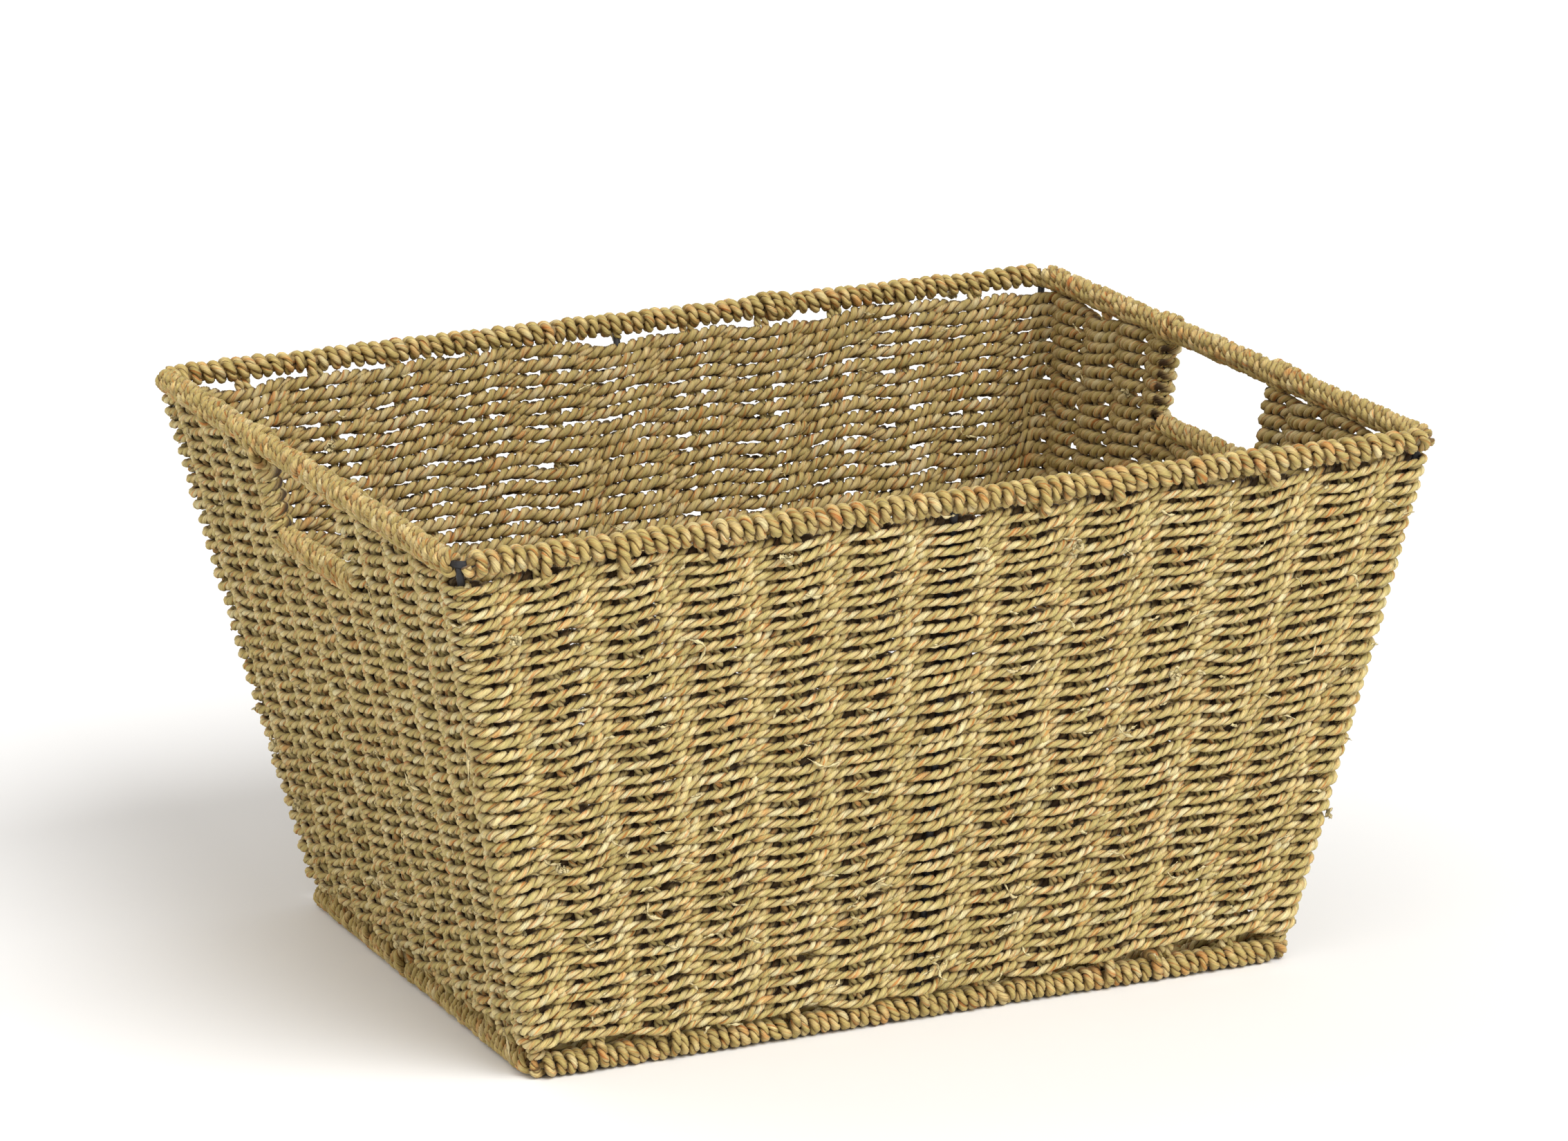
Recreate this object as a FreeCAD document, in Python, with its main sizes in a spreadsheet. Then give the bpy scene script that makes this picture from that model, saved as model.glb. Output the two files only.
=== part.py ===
import FreeCAD, Part
import math
import os
import re

import Sketcher

# Seagrass storage basket: a welded wire frame, doubled cord stakes, twined walls and lashed rims.
# X runs along the basket, Y across it and Z up. The origin is the middle of the resting plane.

Vector = FreeCAD.Vector
Rotation = FreeCAD.Rotation

DIMENSIONS = {
    "rim_length": 430.0,            # between the centres of the rim wire
    "rim_width": 380.0,
    "base_length": 342.0,           # between the centres of the base wire
    "base_width": 273.5,
    "overall_height": 240.0,
    "wire_diameter": 3.2,
    "wire_bend_radius": 8.0,
    "lashing_diameter": 10.0,       # over the cord wound round a wire
    "lashing_rounding": 3.0,
    "foot_flat": 0.3,               # how far the lashing under the base is pressed flat
    "wall_thickness": 10.4,
    "wall_rounding": 4.0,
    "cord_diameter": 3.1,           # one cord of a doubled stake
    "warp_bend_radius": 20.0,
    "base_middle_height": 7.2,
    "handle_width": 106.0,          # between the uprights of a handle wire
    "handle_drop": 42.0,            # from the rim wire to the lower bar
    "handle_bend_radius": 6.0,
    "slot_width": 96.0,
    "long_wall_spaces": 12.0,       # stake spaces along the front and back
    "short_wall_spaces": 11.0,      # stake spaces along each short side
    "seam_gap": 0.2,
    "stake_end_gap": 0.6,           # from a stake's end to the lashing over it
    "channel_slack": 0.15,
}
ALIASES = re.compile(r"\b(" + "|".join(DIMENSIONS) + r")\b")

LONG_SPACES = int(DIMENSIONS["long_wall_spaces"])
SHORT_SPACES = int(DIMENSIONS["short_wall_spaces"])
STAKES_UNDER_SLOT = (4, 5, 6, 7)

doc = FreeCAD.newDocument("Basket")
sheet = doc.addObject("Spreadsheet::Sheet", "Dims")
for row, (alias, value) in enumerate(DIMENSIONS.items(), start=1):
    sheet.set(f"A{row}", alias)
    sheet.set(f"B{row}", str(value))
    sheet.setAlias(f"B{row}", alias)
doc.recompute()


# Formulas, written with the sheet's aliases.

BASE_WIRE_HEIGHT = "(lashing_diameter / 2 - foot_flat)"
RIM_WIRE_HEIGHT = "(overall_height - lashing_diameter / 2)"
RISE = "(overall_height - lashing_diameter + foot_flat)"
WALL_FOOT = "(lashing_diameter - foot_flat + seam_gap)"
WALL_HEAD = "(overall_height - lashing_diameter - seam_gap)"
SLOT_SILL = "(overall_height - lashing_diameter / 2 - handle_drop)"
UNDER_SILL = f"({SLOT_SILL} - lashing_diameter / 2 - seam_gap)"
LONG_WALL_RUN = "((rim_width - base_width) / 2)"
SHORT_WALL_RUN = "((rim_length - base_length) / 2)"
BEND_INSET = "(wire_bend_radius * (1 - 0.5 ^ 0.5))"


def half_length(height):
    """Half the length between the middles of the two short walls, at a height."""
    return f"(base_length / 2 + {SHORT_WALL_RUN} * ({height} - {BASE_WIRE_HEIGHT}) / {RISE})"


def half_width(height):
    """Half the width between the middles of the two long walls, at a height."""
    return f"(base_width / 2 + {LONG_WALL_RUN} * ({height} - {BASE_WIRE_HEIGHT}) / {RISE})"


def level_thickness(run):
    """A leaning wall's thickness, measured level."""
    return f"(wall_thickness * (1 + ({run} / {RISE}) ^ 2) ^ 0.5)"


def stake_offset(number, spaces):
    """Where a stake stands, as a share of the half length of its wall."""
    return f"(2 * {number} / {spaces} - 1)"


def cells(formula):
    return ALIASES.sub(r"Dims.\1", formula)


def value_of(formula):
    result = sheet.evalExpression(cells(formula))
    return float(getattr(result, "Value", result))


def bind(item, path, formula):
    item.setExpression(path, cells(formula))


def place(item, x="0", y="0", z="0", axis=None, angle="0"):
    """Bind an object's place, and its turn about one axis, to formulas."""
    if axis is not None:
        item.Placement = FreeCAD.Placement(Vector(), Rotation(axis, 1))
        bind(item, "Placement.Rotation.Angle", angle)
    for letter, formula in (("x", x), ("y", y), ("z", z)):
        bind(item, f"Placement.Base.{letter}", formula)


# Sketch helpers.

def sketch_on(body, name, role):
    sketch = body.newObject("Sketcher::SketchObject", name)
    plane = next(item for item in body.Origin.OriginFeatures if item.Role == role)
    sketch.AttachmentSupport = (plane, [""])
    sketch.MapMode = "FlatFace"
    return sketch


def constrain(sketch, kind, *arguments, formula=None):
    if formula is None:
        sketch.addConstraint(Sketcher.Constraint(kind, *arguments))
        return
    index = sketch.addConstraint(Sketcher.Constraint(kind, *arguments, value_of(formula)))
    label = f"{kind}{index}"
    sketch.renameConstraint(index, label)
    bind(sketch, f"Constraints.{label}", formula)


def pin(sketch, curve, point, x=None, y=None):
    """Fix a curve's point at x and y from the sketch's origin, where they are given."""
    for kind, formula, axis_line in (("DistanceX", x, -2), ("DistanceY", y, -1)):
        if formula is None:
            continue
        distance = value_of(formula)
        if abs(distance) < 1e-9:
            constrain(sketch, "PointOnObject", curve, point, axis_line)
        elif distance > 0:
            constrain(sketch, kind, -1, 1, curve, point, formula=formula)
        else:
            constrain(sketch, kind, curve, point, -1, 1, formula=f"-({formula})")


def line(sketch, start, end):
    return sketch.addGeometry(Part.LineSegment(Vector(*start, 0), Vector(*end, 0)), False)


def arc(sketch, centre, radius, first, last):
    circle = Part.Circle(Vector(*centre, 0), Vector(0, 0, 1), radius)
    return sketch.addGeometry(Part.ArcOfCircle(circle, math.radians(first), math.radians(last)), False)


def circle_profile(body, role, diameter, x="0", y="0"):
    sketch = sketch_on(body, "Profile", role)
    centre = Vector(value_of(x), value_of(y), 0)
    sketch.addGeometry(Part.Circle(centre, Vector(0, 0, 1), value_of(diameter) / 2), False)
    constrain(sketch, "Diameter", 0, formula=diameter)
    pin(sketch, 0, 3, x, y)
    return sketch


def doubled_cord_profile(body, role, slack, x="0"):
    """The outline of two cords side by side: a bar with round ends."""
    radius = f"(cord_diameter / 2 + {slack})"
    sketch = sketch_on(body, "Profile", role)
    size = value_of(radius)
    spread = value_of("cord_diameter / 2")
    middle = value_of(x)
    line(sketch, (middle - spread, -size), (middle + spread, -size))
    arc(sketch, (middle + spread, 0), size, -90, 90)
    line(sketch, (middle + spread, size), (middle - spread, size))
    arc(sketch, (middle - spread, 0), size, 90, 270)
    for curve, following in ((0, 1), (2, 3)):
        constrain(sketch, "Tangent", curve, 2, following, 1)
        constrain(sketch, "Tangent", following, 2, (following + 1) % 4, 1)
    constrain(sketch, "Horizontal", 0)
    constrain(sketch, "Radius", 1, formula=radius)
    pin(sketch, 1, 3, f"{x} + cord_diameter / 2", "0")
    pin(sketch, 3, 3, f"{x} - cord_diameter / 2", "0")
    return sketch


def pipe(body, profile, path):
    feature = body.newObject("PartDesign::AdditivePipe", "Pipe")
    feature.Profile = profile
    feature.Spine = path
    body.Tip = feature
    return feature


# Wires, lashings and cords as solids. Each is also made a little fatter as a cutting tool, so that
# the pieces around it have a channel for it.

def wire_loop(name, length, width, height, slack="0"):
    """A closed wire rectangle with bent corners, its centre line at a height."""
    body = doc.addObject("PartDesign::Body", name)
    path = sketch_on(body, "Path", "XY_Plane")
    half_x = f"{length} / 2"
    half_y = f"{width} / 2"
    right = value_of(half_x)
    back = value_of(half_y)
    bend = value_of("wire_bend_radius")
    corner_x = right - bend
    corner_y = back - bend
    line(path, (0, -back), (corner_x, -back))
    arc(path, (corner_x, -corner_y), bend, 270, 360)
    line(path, (right, -corner_y), (right, corner_y))
    arc(path, (corner_x, corner_y), bend, 0, 90)
    line(path, (corner_x, back), (-corner_x, back))
    arc(path, (-corner_x, corner_y), bend, 90, 180)
    line(path, (-right, corner_y), (-right, -corner_y))
    arc(path, (-corner_x, -corner_y), bend, 180, 270)
    line(path, (-corner_x, -back), (0, -back))
    for curve in range(8):
        constrain(path, "Tangent", curve, 2, curve + 1, 1)
    constrain(path, "Coincident", 8, 2, 0, 1)
    for curve in (3, 5, 7):
        constrain(path, "Equal", 1, curve)
    constrain(path, "Radius", 1, formula="wire_bend_radius")
    for curve in (0, 4, 8):
        constrain(path, "Horizontal", curve)
    for curve in (2, 6):
        constrain(path, "Vertical", curve)
    pin(path, 0, 1, "0", f"-({half_y})")
    pin(path, 2, 1, x=half_x)
    pin(path, 4, 1, y=half_y)
    pin(path, 6, 1, x=f"-({half_x})")
    profile = circle_profile(body, "YZ_Plane", f"wire_diameter + 2 * {slack}", f"-({half_y})", "0")
    pipe(body, profile, path)
    place(body, z=height)
    return body


def handle_wire(name, side, slack="0"):
    """A U of wire that hangs from the rim wire in the middle of a short wall."""
    body = doc.addObject("PartDesign::Body", name)
    path = sketch_on(body, "Path", "YZ_Plane")
    lean = f"(1 + ({SHORT_WALL_RUN} / {RISE}) ^ 2) ^ 0.5"
    half = "handle_width / 2"
    depth = f"handle_drop * {lean}"
    reach = value_of(half)
    drop = value_of(depth)
    bend = value_of("handle_bend_radius")
    line(path, (reach, 0), (reach, bend - drop))
    arc(path, (reach - bend, bend - drop), bend, 270, 360)
    line(path, (reach - bend, -drop), (bend - reach, -drop))
    arc(path, (bend - reach, bend - drop), bend, 180, 270)
    line(path, (-reach, bend - drop), (-reach, 0))
    constrain(path, "Tangent", 0, 2, 1, 2)
    constrain(path, "Tangent", 1, 1, 2, 1)
    constrain(path, "Tangent", 2, 2, 3, 2)
    constrain(path, "Tangent", 3, 1, 4, 1)
    constrain(path, "Vertical", 0)
    constrain(path, "Vertical", 4)
    constrain(path, "Horizontal", 2)
    constrain(path, "Equal", 1, 3)
    constrain(path, "Radius", 1, formula="handle_bend_radius")
    pin(path, 0, 1, half, "0")
    pin(path, 4, 2, f"-({half})", "0")
    pin(path, 2, 1, y=f"-({depth})")
    profile = circle_profile(body, "XY_Plane", f"wire_diameter + 2 * {slack}", "0", half)
    pipe(body, profile, path)
    place(body, x=f"{side} * rim_length / 2", z=RIM_WIRE_HEIGHT, axis=Vector(0, 1, 0),
          angle=f"{side} * atan({SHORT_WALL_RUN} / {RISE})")
    return body


def straight_wire(name, start, end, slack="0"):
    """A straight wire between two points, each given as formulas for x, y and z."""
    rod = doc.addObject("Part::Cylinder", name)
    run = [f"({last} - ({first}))" for first, last in zip(start, end)]
    length = f"({run[0]} ^ 2 + {run[1]} ^ 2 + {run[2]} ^ 2) ^ 0.5"
    bind(rod, "Radius", f"wire_diameter / 2 + {slack}")
    bind(rod, "Height", length)
    level = Vector(value_of(run[0]), value_of(run[1]), 0)
    axis = Vector(-level.y, level.x, 0).normalize()
    place(rod, *start, axis=axis, angle=f"acos({run[2]} / {length})")
    return rod


def warp(name, number, slack="0"):
    """A doubled cord that runs down the front, under the base and up the back."""
    body = doc.addObject("PartDesign::Body", name)
    share = stake_offset(number, "long_wall_spaces")
    foot_x = f"{share} * {half_length('base_middle_height')}"
    head = f"({WALL_HEAD} - stake_end_gap)"
    head_x = f"{share} * {half_length(head)}"
    rise = f"({head} - base_middle_height)"
    stretch = f"(1 + (({head_x} - {foot_x}) / {rise}) ^ 2) ^ 0.5"
    head_y = half_width(head)
    head_z = f"{rise} * {stretch}"
    turn = f"atan({head_z} / ({head_y} - {half_width('base_middle_height')}))"
    bend = value_of("warp_bend_radius")
    angle = value_of(turn)
    set_back = bend * math.tan(math.radians(angle / 2))
    bend_start = value_of(half_width("base_middle_height")) - set_back
    bend_end = (bend_start + bend * math.sin(math.radians(angle)),
                bend - bend * math.cos(math.radians(angle)))
    path = sketch_on(body, "Path", "YZ_Plane")
    line(path, (0, 0), (bend_start, 0))
    arc(path, (bend_start, bend), bend, 270, 270 + angle)
    line(path, bend_end, (value_of(head_y), value_of(head_z)))
    constrain(path, "Tangent", 0, 2, 1, 1)
    constrain(path, "Tangent", 1, 2, 2, 1)
    constrain(path, "Horizontal", 0)
    constrain(path, "Coincident", -1, 1, 0, 1)
    constrain(path, "Radius", 1, formula="warp_bend_radius")
    constrain(path, "Angle", -1, 1, 2, 1, formula=turn)
    pin(path, 2, 2, head_y, head_z)
    profile = doubled_cord_profile(body, "XZ_Plane", slack)
    half = pipe(body, profile, path)
    mirror = body.newObject("PartDesign::Mirrored", "BothWalls")
    mirror.Originals = [half]
    mirror.MirrorPlane = (next(item for item in body.Origin.OriginFeatures if item.Role == "XZ_Plane"), [""])
    body.Tip = mirror
    place(body, x=foot_x, z="base_middle_height", axis=Vector(0, 1, 0),
          angle=f"atan(({head_x} - {foot_x}) / {rise})")
    return body


def stake(name, side, number, slack="0"):
    """A doubled cord that stands in a short wall; the middle ones stop under the slot."""
    body = doc.addObject("PartDesign::Body", name)
    share = stake_offset(number, "short_wall_spaces")
    top = UNDER_SILL if number in STAKES_UNDER_SLOT else WALL_HEAD
    head = f"({top} - stake_end_gap)"
    lean = f"(1 + ({SHORT_WALL_RUN} / {RISE}) ^ 2) ^ 0.5"
    foot_y = f"{share} * {half_width(WALL_FOOT)}"
    head_y = f"{share} * {half_width(head)}"
    head_z = f"({head} - {WALL_FOOT}) * {lean}"
    path = sketch_on(body, "Path", "YZ_Plane")
    line(path, (value_of(foot_y), 0), (value_of(head_y), value_of(head_z)))
    pin(path, 0, 1, foot_y, "0")
    pin(path, 0, 2, head_y, head_z)
    profile = doubled_cord_profile(body, "XY_Plane", slack, foot_y)
    profile.AttachmentOffset = FreeCAD.Placement(Vector(), Rotation(Vector(0, 0, 1), 90))
    pipe(body, profile, path)
    place(body, x=f"{side} * {half_length(WALL_FOOT)}", z=WALL_FOOT, axis=Vector(0, 1, 0),
          angle=f"{side} * atan({SHORT_WALL_RUN} / {RISE})")
    return body


# Woven walls and lashings: plain blocks and bars with the true outer size.

def wall_block(name, facing, foot, head, near, far, middle, run, rounded=False):
    """A leaning wall. near and far give its ends, and middle its distance out, at a height."""
    body = doc.addObject("PartDesign::Body", name)
    block = body.newObject("PartDesign::AdditiveWedge", "Block")
    half_thickness = f"{level_thickness(run)} / 2"
    bind(block, "Ymin", foot)
    bind(block, "Ymax", head)
    bind(block, "Xmin", near(foot))
    bind(block, "Xmax", far(foot))
    bind(block, "X2min", near(head))
    bind(block, "X2max", far(head))
    bind(block, "Zmin", f"{middle(foot)} - {half_thickness}")
    bind(block, "Zmax", f"{middle(foot)} + {half_thickness}")
    bind(block, "Z2min", f"{middle(head)} - {half_thickness}")
    bind(block, "Z2max", f"{middle(head)} + {half_thickness}")
    block.Placement = FreeCAD.Placement(Vector(), Rotation(Vector(1, 0, 0), 90))
    body.Placement = FreeCAD.Placement(Vector(), Rotation(Vector(0, 0, 1), facing))
    body.Tip = block
    if rounded:
        doc.recompute()
        round_edges(body, block, outer_uprights(block.Shape), "wall_rounding")
    return body


def outer_uprights(shape):
    """Names of the upright edges on the face that looks out of the basket, which is -Y here."""
    box = shape.BoundBox
    names = []
    for index, edge in enumerate(shape.Edges, start=1):
        low, high = sorted(vertex.Point.z for vertex in edge.Vertexes)
        upright = high - low > box.ZLength / 2
        top = max(edge.Vertexes, key=lambda vertex: vertex.Point.z).Point
        if upright and abs(top.y - box.YMin) < 1e-6:
            names.append(f"Edge{index}")
    return names


def round_edges(body, base, edges, radius):
    rounding = body.newObject("PartDesign::Fillet", "Rounding")
    rounding.Base = (base, edges)
    bind(rounding, "Radius", radius)
    body.Tip = rounding
    return rounding


def lashing_bar(name, half_span, x="0", y="0", z="0", along_y=False, rounded=False):
    """The space that a lashing fills round a straight wire, centred at x, y and z."""
    body = doc.addObject("PartDesign::Body", name)
    bar = body.newObject("PartDesign::AdditiveCylinder", "Bar")
    bind(bar, "Radius", "lashing_diameter / 2")
    bind(bar, "Height", f"2 * {half_span}")
    bind(bar, "Placement.Base.z", f"-({half_span})")
    body.Tip = bar
    if rounded:
        doc.recompute()
        rims = [f"Edge{index}" for index, edge in enumerate(bar.Shape.Edges, start=1) if edge.isClosed()]
        round_edges(body, bar, rims, "lashing_rounding")
    axis = Vector(1, 0, 0) if along_y else Vector(0, 1, 0)
    place(body, x, y, z, axis=axis, angle="90")
    return body


# The frame's members, each as a recipe that makes it at its real size or as a cutting tool.

def corner_post(side_x, side_y):
    foot = (f"{side_x} * (base_length / 2 - {BEND_INSET})", f"{side_y} * (base_width / 2 - {BEND_INSET})",
            BASE_WIRE_HEIGHT)
    head = (f"{side_x} * (rim_length / 2 - {BEND_INSET})", f"{side_y} * (rim_width / 2 - {BEND_INSET})",
            RIM_WIRE_HEIGHT)
    return lambda name, slack="0": straight_wire(name, foot, head, slack)


def middle_wire(side_y):
    foot = ("0", f"{side_y} * base_width / 2", BASE_WIRE_HEIGHT)
    head = ("0", f"{side_y} * rim_width / 2", RIM_WIRE_HEIGHT)
    return lambda name, slack="0": straight_wire(name, foot, head, slack)


def cross_wire(name, slack="0"):
    start = ("0", "-base_width / 2", BASE_WIRE_HEIGHT)
    end = ("0", "base_width / 2", BASE_WIRE_HEIGHT)
    return straight_wire(name, start, end, slack)


FRAME = {
    "rim_wire": lambda name, slack="0": wire_loop(name, "rim_length", "rim_width", RIM_WIRE_HEIGHT, slack),
    "base_wire": lambda name, slack="0": wire_loop(name, "base_length", "base_width", BASE_WIRE_HEIGHT, slack),
    "corner_post_front_left": corner_post(-1, -1),
    "corner_post_front_right": corner_post(1, -1),
    "corner_post_back_left": corner_post(-1, 1),
    "corner_post_back_right": corner_post(1, 1),
    "middle_wire_front": middle_wire(-1),
    "middle_wire_back": middle_wire(1),
    "base_cross_wire": cross_wire,
    "handle_wire_left": lambda name, slack="0": handle_wire(name, -1, slack),
    "handle_wire_right": lambda name, slack="0": handle_wire(name, 1, slack),
}
SIDES = {"left": -1, "right": 1}
WARPS = [number for number in range(1, LONG_SPACES) if 2 * number != LONG_SPACES]

pieces = {}
channels = {name: make(f"{name}_channel", "channel_slack") for name, make in FRAME.items()}


def keep(node, piece, *cutters):
    """Name a finished piece, after cutting the channels that it needs."""
    if cutters:
        tool = cutters[0]
        if len(cutters) > 1:
            tool = doc.addObject("Part::MultiFuse", f"{node}_channels")
            tool.Shapes = list(cutters)
        cut = doc.addObject("Part::Cut", f"{node}_cut")
        cut.Base = piece
        cut.Tool = tool
        piece = cut
    piece.Label = node
    pieces[node] = piece


# The wires. Where two meet, the one that is welded on is notched to fit the other.

WELDED_TO = {
    "middle_wire_front": ["rim_wire", "base_wire", "base_cross_wire"],
    "middle_wire_back": ["rim_wire", "base_wire", "base_cross_wire"],
    "base_cross_wire": ["base_wire"],
    "handle_wire_left": ["rim_wire"],
    "handle_wire_right": ["rim_wire"],
}
for name, make in FRAME.items():
    seats = WELDED_TO.get(name, ["rim_wire", "base_wire"] if name.startswith("corner_post") else [])
    keep(name, make(f"{name}_rod"), *[channels[seat] for seat in seats])

# The stakes.

warp_channels = []
for order, number in enumerate(WARPS, start=1):
    keep(f"warp_{order:02d}", warp(f"warp_{order:02d}_cord", number))
    warp_channels.append(warp(f"warp_{order:02d}_channel", number, "channel_slack"))

stake_channels = {}
for side_name, side in SIDES.items():
    for number in range(1, SHORT_SPACES):
        name = f"{side_name}_stake_{number:02d}"
        keep(name, stake(f"{name}_cord", side, number))
        stake_channels[side_name, number] = stake(f"{name}_channel", side, number, "channel_slack")

# The long walls reach round the corner posts, and the short walls fit between them.

def corner_reach(height):
    return f"({half_length(height)} + {level_thickness(SHORT_WALL_RUN)} / 2)"


def inner_reach(height):
    return f"({half_width(height)} - {level_thickness(LONG_WALL_RUN)} / 2 - seam_gap)"


def minus(reach):
    return lambda height: f"-({reach(height)})"


for node, facing, posts, middle in (
    ("front_weave", 0, ("corner_post_front_left", "corner_post_front_right"), "middle_wire_front"),
    ("back_weave", 180, ("corner_post_back_left", "corner_post_back_right"), "middle_wire_back"),
):
    block = wall_block(f"{node}_block", facing, WALL_FOOT, WALL_HEAD, minus(corner_reach), corner_reach,
                       half_width, LONG_WALL_RUN, rounded=True)
    keep(node, block, *warp_channels, channels[posts[0]], channels[posts[1]], channels[middle])


def slot_edge(height):
    return "(slot_width / 2)"


for side_name, side in SIDES.items():
    facing = 90 * side
    sill_cutters = [stake_channels[side_name, number] for number in range(1, SHORT_SPACES)]
    below = wall_block(f"{side_name}_below_block", facing, WALL_FOOT, UNDER_SILL, minus(inner_reach),
                       inner_reach, half_length, SHORT_WALL_RUN)
    keep(f"{side_name}_weave_below", below, *sill_cutters)
    # A left wall's own +X end is towards the front of the basket, and a right wall's is towards the back.
    for end_name, end in (("front", -side), ("back", side)):
        near, far = (slot_edge, inner_reach) if end > 0 else (minus(inner_reach), minus(slot_edge))
        beside = wall_block(f"{side_name}_{end_name}_block", facing, f"({UNDER_SILL} + seam_gap)", WALL_HEAD,
                            near, far, half_length, SHORT_WALL_RUN)
        toward_back = end_name == "back"
        numbers = [number for number in range(1, SHORT_SPACES)
                   if number not in STAKES_UNDER_SLOT and (2 * number > SHORT_SPACES) == toward_back]
        keep(f"{side_name}_weave_{end_name}", beside, channels[f"handle_wire_{side_name}"],
             *[stake_channels[side_name, number] for number in numbers])

# The base is woven between the wires, a little clear of the ground.

base_block = doc.addObject("Part::Box", "base_block")
clear = "(lashing_diameter / 2 + seam_gap)"
bind(base_block, "Length", f"base_length - 2 * {clear}")
bind(base_block, "Width", f"base_width - 2 * {clear}")
bind(base_block, "Height", "wall_thickness")
place(base_block, f"-(base_length / 2 - {clear})", f"-(base_width / 2 - {clear})",
      "base_middle_height - wall_thickness / 2")
keep("base_weave", base_block, *warp_channels, channels["base_cross_wire"])

# The lashings round the rim wire, the base wire and the lower bars of the slots. What lies under the
# ground plane is cut off the base's lashing, because it is pressed flat where it rests.

ground = doc.addObject("Part::Box", "ground")
bind(ground, "Length", "base_length * 2")
bind(ground, "Width", "base_width * 2")
bind(ground, "Height", "lashing_diameter")
place(ground, "-base_length", "-base_width", "-lashing_diameter")

for level, length, width, height, loop in (
    ("rim", "rim_length", "rim_width", RIM_WIRE_HEIGHT, "rim_wire"),
    ("base", "base_length", "base_width", BASE_WIRE_HEIGHT, "base_wire"),
):
    for end_name, end in (("front", -1), ("back", 1)):
        bar = lashing_bar(f"{level}_{end_name}_bar", f"({length} / 2 + lashing_diameter / 2)",
                          y=f"{end} * {width} / 2", z=height, rounded=True)
        crossing = [loop, f"corner_post_{end_name}_left", f"corner_post_{end_name}_right",
                    f"middle_wire_{end_name}"]
        cutters = [channels[wire] for wire in crossing]
        if level == "base":
            cutters += [channels["base_cross_wire"], ground]
        keep(f"{level}_lashing_{end_name}", bar, *cutters)
    for side_name, side in SIDES.items():
        bar = lashing_bar(f"{level}_{side_name}_bar", f"({width} / 2 - {clear})",
                          x=f"{side} * {length} / 2", z=height, along_y=True)
        crossed = channels[f"handle_wire_{side_name}"] if level == "rim" else ground
        keep(f"{level}_lashing_{side_name}", bar, channels[loop], crossed)

for side_name, side in SIDES.items():
    bar = lashing_bar(f"handle_{side_name}_bar", "(slot_width / 2 - seam_gap)",
                      x=f"{side} * {half_length(SLOT_SILL)}", z=SLOT_SILL, along_y=True)
    keep(f"handle_lashing_{side_name}", bar, channels[f"handle_wire_{side_name}"])

doc.recompute()

for item in doc.Objects:
    if "Invalid" in item.State or "Error" in item.State:
        raise RuntimeError(f"{item.Label} did not compute: {item.State}")
os.makedirs("parts", exist_ok=True)
for node, piece in pieces.items():
    shape = piece.Shape
    if shape.isNull() or not shape.isValid() or not shape.Solids:
        raise RuntimeError(f"{node} has no valid solid")
    shape.exportStep(f"parts/{node}.step")
print(len(pieces), "nodes written")
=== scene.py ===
"""Seagrass storage basket: two-ply cords twined round doubled stakes on a lashed wire frame."""

import math

import bpy
import numpy as np
from mathutils import Matrix, Vector


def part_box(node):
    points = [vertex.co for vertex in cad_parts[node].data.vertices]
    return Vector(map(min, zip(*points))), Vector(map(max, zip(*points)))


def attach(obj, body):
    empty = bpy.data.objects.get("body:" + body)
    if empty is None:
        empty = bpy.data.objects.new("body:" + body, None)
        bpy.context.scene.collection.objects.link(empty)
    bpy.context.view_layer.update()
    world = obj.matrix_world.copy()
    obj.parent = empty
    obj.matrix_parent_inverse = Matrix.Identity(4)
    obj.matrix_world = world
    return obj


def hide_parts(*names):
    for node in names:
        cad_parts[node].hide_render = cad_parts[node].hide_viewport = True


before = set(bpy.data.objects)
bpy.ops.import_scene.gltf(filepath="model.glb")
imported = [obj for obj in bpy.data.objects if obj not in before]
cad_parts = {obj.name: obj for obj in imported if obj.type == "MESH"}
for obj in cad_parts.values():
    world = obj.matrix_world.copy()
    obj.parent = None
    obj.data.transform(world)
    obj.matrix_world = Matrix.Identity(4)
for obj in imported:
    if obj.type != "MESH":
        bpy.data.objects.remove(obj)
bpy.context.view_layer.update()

MM = 0.001
TAU = 2 * math.pi


# ---------------------------------------------------------------- sizes read from the frame

def box_mm(node):
    """Lowest and highest corner of a CAD node, in millimetres."""
    low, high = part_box(node)
    return np.array(low) / MM, np.array(high) / MM


def nodes_named(start):
    """The CAD nodes whose names begin that way, in order."""
    return sorted(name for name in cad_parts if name.startswith(start))


rim_low, rim_high = box_mm("rim_wire")
base_high = box_mm("base_wire")[1]
WIRE_RADIUS = (rim_high[2] - rim_low[2]) / 2
RIM_HALF_X = rim_high[0] - WIRE_RADIUS
RIM_HALF_Y = rim_high[1] - WIRE_RADIUS
RIM_Z = rim_high[2] - WIRE_RADIUS
BASE_HALF_X = base_high[0] - WIRE_RADIUS
BASE_HALF_Y = base_high[1] - WIRE_RADIUS
BASE_Z = base_high[2] - WIRE_RADIUS
LEAN_X = (RIM_HALF_X - BASE_HALF_X) / (RIM_Z - BASE_Z)
LEAN_Y = (RIM_HALF_Y - BASE_HALF_Y) / (RIM_Z - BASE_Z)
LEAN = (LEAN_X + LEAN_Y) / 2

WALL_FOOT = box_mm("front_weave")[0][2]
WALL_HEAD = box_mm("front_weave")[1][2]
UNDER_SLOT = box_mm("left_weave_below")[1][2]
handle_low, handle_high = box_mm("handle_wire_right")
BAR_Z = handle_low[2] + WIRE_RADIUS
SLOT_POST_Y = handle_high[1] - WIRE_RADIUS
BASE_WEAVE_LOW, BASE_WEAVE_HIGH = box_mm("base_weave")

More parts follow.
